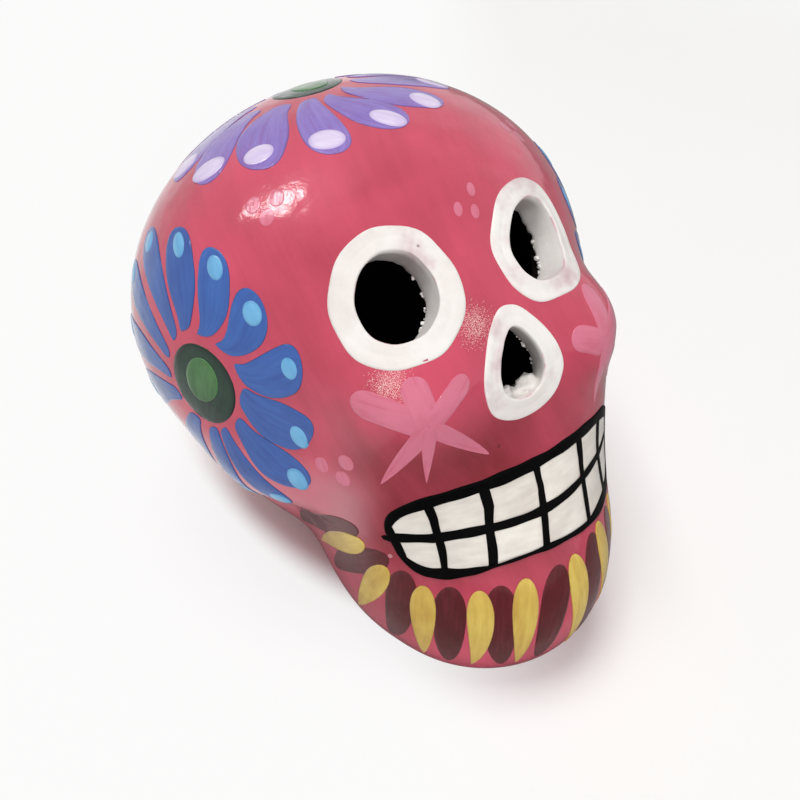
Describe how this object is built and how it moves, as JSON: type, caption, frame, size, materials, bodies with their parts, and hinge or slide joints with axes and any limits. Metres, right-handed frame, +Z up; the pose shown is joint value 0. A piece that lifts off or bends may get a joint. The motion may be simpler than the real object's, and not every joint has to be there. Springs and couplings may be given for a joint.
{
  "type": "painted ceramic skull",
  "caption": "Hollow painted ceramic skull in folk style, with white-rimmed eye and nose holes, a grid of teeth and brushed flowers, standing on a flat base.",
  "frame": {"origin": "bottom centre of the bounding box, on the face the skull stands on", "axes": "+Z up, face towards -Y, the skull's own left towards +X"},
  "size_m": [0.1046, 0.1187, 0.1041],
  "materials": {
    "painted_clay": "brushed pink paint over fired clay under a glossy varnish",
    "white_slip": "bare white slip with a faint groove and pink stains",
    "black_paint": "glossy black brush line",
    "tooth_paint": "streaky off-white paint under varnish",
    "green_paint": "dark green paint under varnish",
    "blue_paint": "streaky blue paint under varnish",
    "purple_paint": "streaky purple paint under varnish"
  },
  "bodies": {
    "root": {"face_half": "painted_clay", "cranium_half": "painted_clay", "eye_ring_right": "white_slip", "eye_ring_left": "white_slip", "nose_ring": "white_slip", "mouth_line": "black_paint", "tooth_upper_1": "tooth_paint", "tooth_upper_2": "tooth_paint", "tooth_upper_3": "tooth_paint", "tooth_upper_4": "tooth_paint", "tooth_upper_5": "tooth_paint", "tooth_upper_6": "tooth_paint", "tooth_lower_1": "tooth_paint", "tooth_lower_2": "tooth_paint", "tooth_lower_3": "tooth_paint", "tooth_lower_4": "tooth_paint", "tooth_lower_5": "tooth_paint", "tooth_lower_6": "tooth_paint", "flower_centre_right": "green_paint", "flower_centre_left": "green_paint", "flower_centre_top": "green_paint", "petal_right_01": "blue_paint", "petal_right_02": "blue_paint", "petal_right_03": "blue_paint", "petal_right_04": "blue_paint", "petal_right_05": "blue_paint", "petal_right_06": "blue_paint", "petal_right_07": "blue_paint", "petal_right_08": "blue_paint", "petal_right_09": "blue_paint", "petal_right_10": "blue_paint", "petal_right_11": "blue_paint", "petal_right_12": "blue_paint", "petal_right_13": "blue_paint", "petal_left_01": "blue_paint", "petal_left_02": "blue_paint", "petal_left_03": "blue_paint", "petal_left_04": "blue_paint", "petal_left_05": "blue_paint", "petal_left_06": "blue_paint", "petal_left_07": "blue_paint", "petal_left_08": "blue_paint", "petal_left_09": "blue_paint", "petal_left_10": "blue_paint", "petal_left_11": "blue_paint", "petal_left_12": "blue_paint", "petal_left_13": "blue_paint", "petal_top_01": "purple_paint", "petal_top_02": "purple_paint", "petal_top_03": "purple_paint", "petal_top_04": "purple_paint", "petal_top_05": "purple_paint", "petal_top_06": "purple_paint", "petal_top_07": "purple_paint", "petal_top_08": "purple_paint", "petal_top_09": "purple_paint", "petal_top_10": "purple_paint", "petal_top_11": "purple_paint", "petal_top_12": "purple_paint", "petal_top_13": "purple_paint"}
  },
  "joints": []
}
